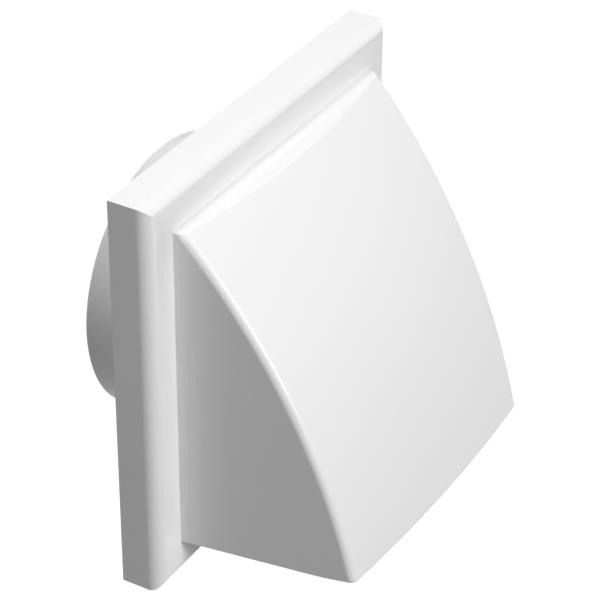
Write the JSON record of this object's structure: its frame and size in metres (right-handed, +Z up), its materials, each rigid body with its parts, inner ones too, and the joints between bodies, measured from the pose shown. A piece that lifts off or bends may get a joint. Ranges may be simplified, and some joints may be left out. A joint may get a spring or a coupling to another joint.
{
  "type": "hooded wall vent",
  "caption": "Square white cowled wall vent: a mitred frame with a curved downward hood, a rear duct spigot, a non-return flap and a bar grille in the mouth.",
  "frame": {"origin": "on the spigot's axis, in the plane of the wall, where the spigot leaves the wall plate", "axes": "+Z up the wall, +Y into the wall along the spigot, -Y out of the wall through the hood, +X to the right as seen from outside"},
  "size_m": [0.15, 0.1127, 0.15],
  "materials": {
    "shell_plastic": "moulded, satin gloss, white",
    "plate_plastic": "moulded, satin, white",
    "flap_plastic": "thin moulding, satin, white",
    "foam": "closed-cell foam, dark grey",
    "grille_plastic": "moulded, satin, white"
  },
  "bodies": {
    "housing": {"cowl": "shell_plastic", "wall_plate": "plate_plastic", "seat_seal": "foam", "mouth_grille": "grille_plastic"},
    "flap": {"flap": "flap_plastic"}
  },
  "joints": [
    {"name": "flap_hinge", "type": "hinge", "parent": "housing", "child": "flap", "pos_m": [0, -0.0096, 0.0545], "axis": [-1, 0, 0], "range_deg": [0, 35]}
  ]
}
